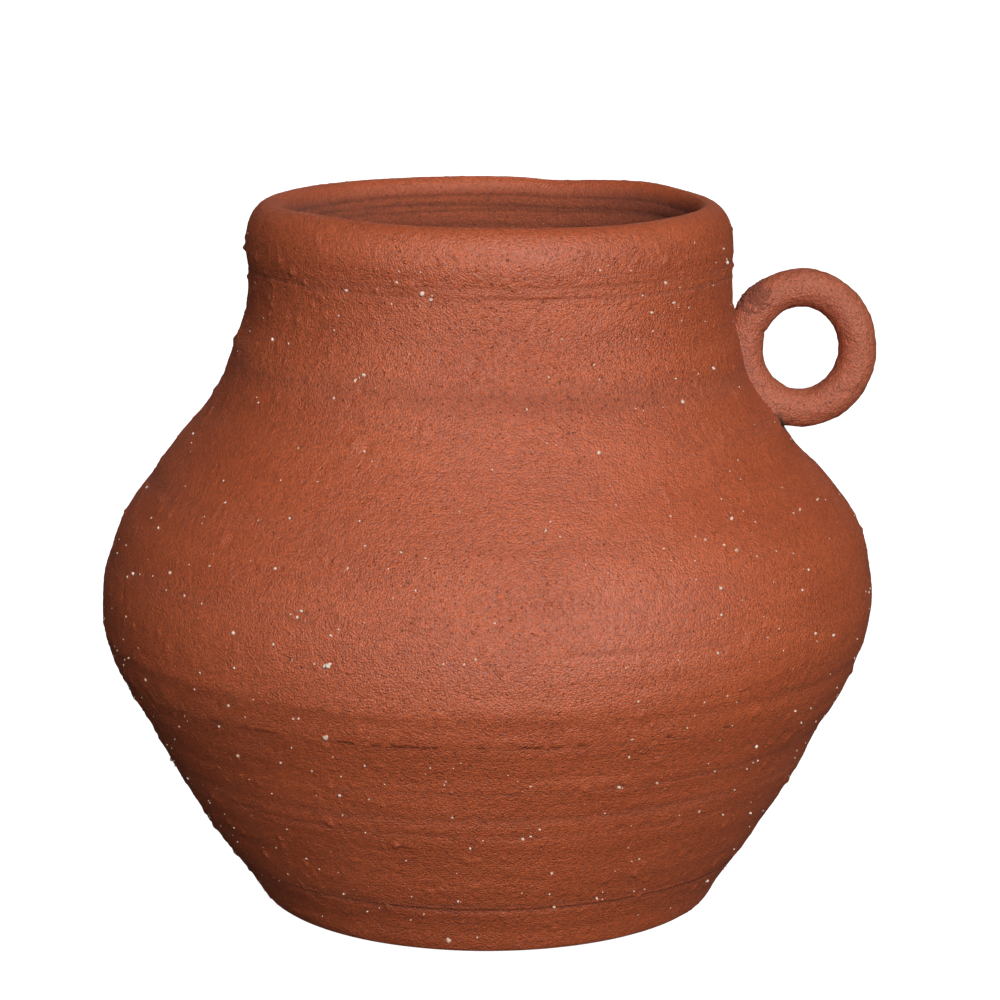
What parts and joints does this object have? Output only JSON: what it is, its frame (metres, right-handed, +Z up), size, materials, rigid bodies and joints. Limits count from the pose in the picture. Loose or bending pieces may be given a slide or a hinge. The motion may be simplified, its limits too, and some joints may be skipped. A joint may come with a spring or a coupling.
{
  "type": "terracotta jar",
  "caption": "Squat hand-thrown terracotta jar with a flat foot, wide belly, rolled rim and a small ring handle fixed at the neck.",
  "frame": {"origin": "centre of the flat foot, on the surface that the jar stands on", "axes": "+Z up along the jar's axis, +X towards the ring handle, whose ring stands in the XZ plane; -Y is the front"},
  "size_m": [0.2105, 0.21, 0.191],
  "materials": {
    "terracotta": "unglazed, sandy, matte, with throwing rings and white grog",
    "handle_clay": "unglazed, matte, finger-smoothed coil",
    "luting_clay": "unglazed, matte, scratched and smeared"
  },
  "bodies": {
    "root": {"base_dish": "terracotta", "lower_wall": "terracotta", "shoulder_section": "terracotta", "neck_collar": "terracotta", "rolled_rim": "terracotta", "ring_handle": "handle_clay", "handle_luting": "luting_clay"}
  },
  "joints": []
}
